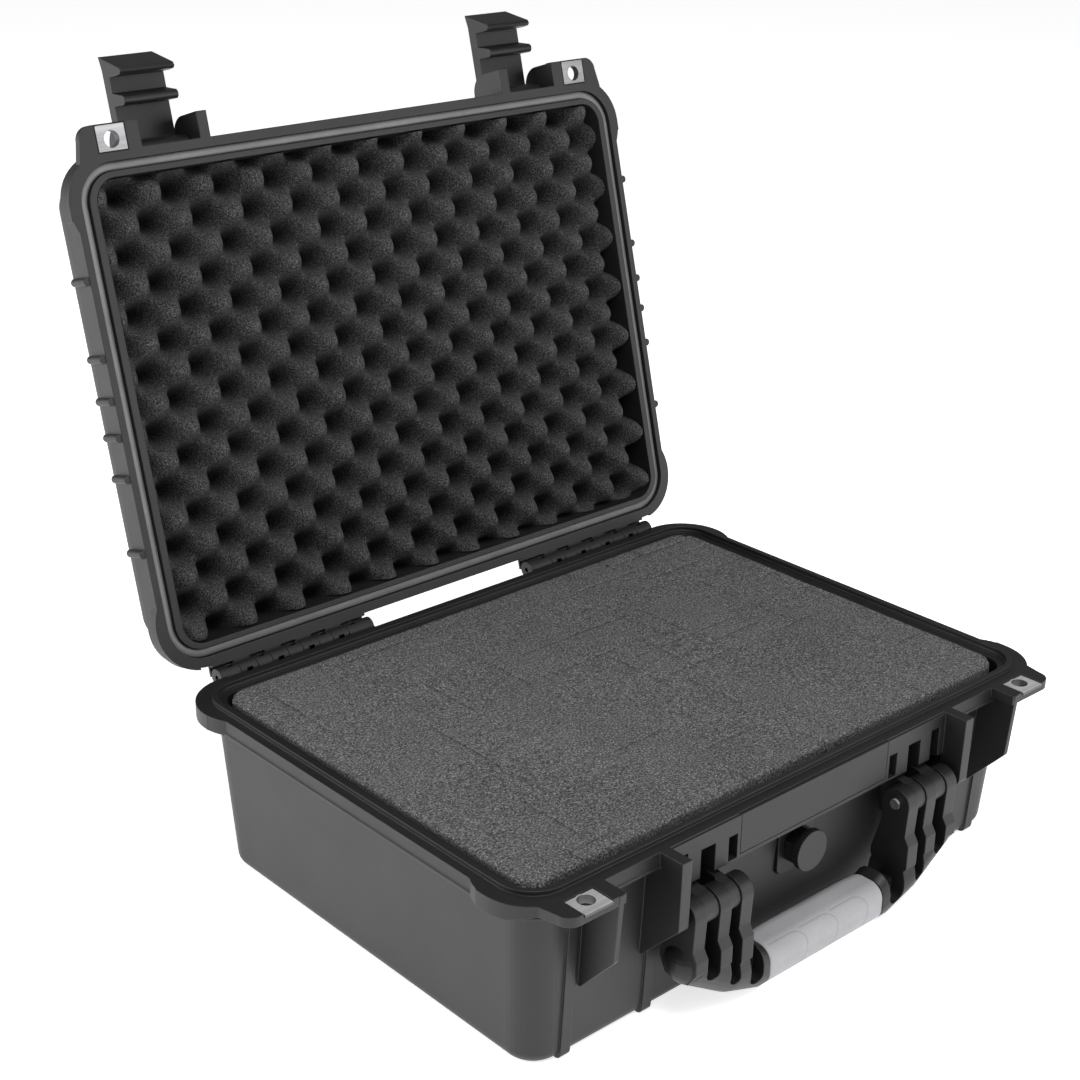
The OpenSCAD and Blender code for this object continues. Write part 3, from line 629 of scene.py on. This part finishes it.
def light(name, place, size, energy):
    """A round area light that looks at the object."""
    data = bpy.data.lights.new(name, "AREA")
    data.shape = "DISK"
    data.size = size
    data.energy = energy
    obj = bpy.data.objects.new(name, data)
    bpy.context.scene.collection.objects.link(obj)
    obj.location = place
    obj.rotation_euler = (LIGHT_TARGET - Vector(place)).to_track_quat("-Z", "Y").to_euler()


def studio():
    """White surroundings, a large light at the left, a smaller one in front and one above."""
    world = bpy.data.worlds.new("white_studio")
    world.use_nodes = True
    background = world.node_tree.nodes["Background"]
    background.inputs["Color"].default_value = (1, 1, 1, 1)
    # The sky looks white above the floor's horizon, but lights the object only a little
    sight = world.node_tree.nodes.new("ShaderNodeLightPath")
    strength = world.node_tree.nodes.new("ShaderNodeMapRange")
    strength.inputs["To Min"].default_value = 0.2
    strength.inputs["To Max"].default_value = 1.0
    world.node_tree.links.new(sight.outputs["Is Camera Ray"], strength.inputs["Value"])
    world.node_tree.links.new(strength.outputs["Result"], background.inputs["Strength"])
    bpy.context.scene.world = world
    light("key_left", (-1.8, 1.1, 0.8), 1.8, 36)
    light("right_front", (1.2, -1.9, 0.8), 1.8, 22)
    light("top", (-0.3, -0.8, 2.1), 1.4, 32)


# The camera that was fitted to the photograph
CAMERA_PLACE = Vector((-717.10, -718.78, 621.10)) * MM
CAMERA_RIGHT = Vector((0.74384656, -0.66824154, 0.01206399))
CAMERA_UP = Vector((0.25183852, 0.2969602, 0.92108197))
CAMERA_BACK = Vector((-0.61908776, -0.68210548, 0.38918178))
CAMERA_LENS = 65.41


def camera():
    """The photograph's own view."""
    data = bpy.data.cameras.new("camera")
    data.lens = CAMERA_LENS
    data.sensor_width = 36
    data.clip_start, data.clip_end = 0.05, 100
    obj = bpy.data.objects.new("camera", data)
    turn = Matrix((CAMERA_RIGHT, CAMERA_UP, CAMERA_BACK)).transposed().to_4x4()
    obj.matrix_world = Matrix.Translation(CAMERA_PLACE) @ turn
    bpy.context.scene.collection.objects.link(obj)
    bpy.context.scene.camera = obj


paint_cad_nodes()
base_foam()
egg_crate_foam()
gasket()
grip()
floor()
studio()
camera()
bpy.context.scene.view_settings.view_transform = "Standard"
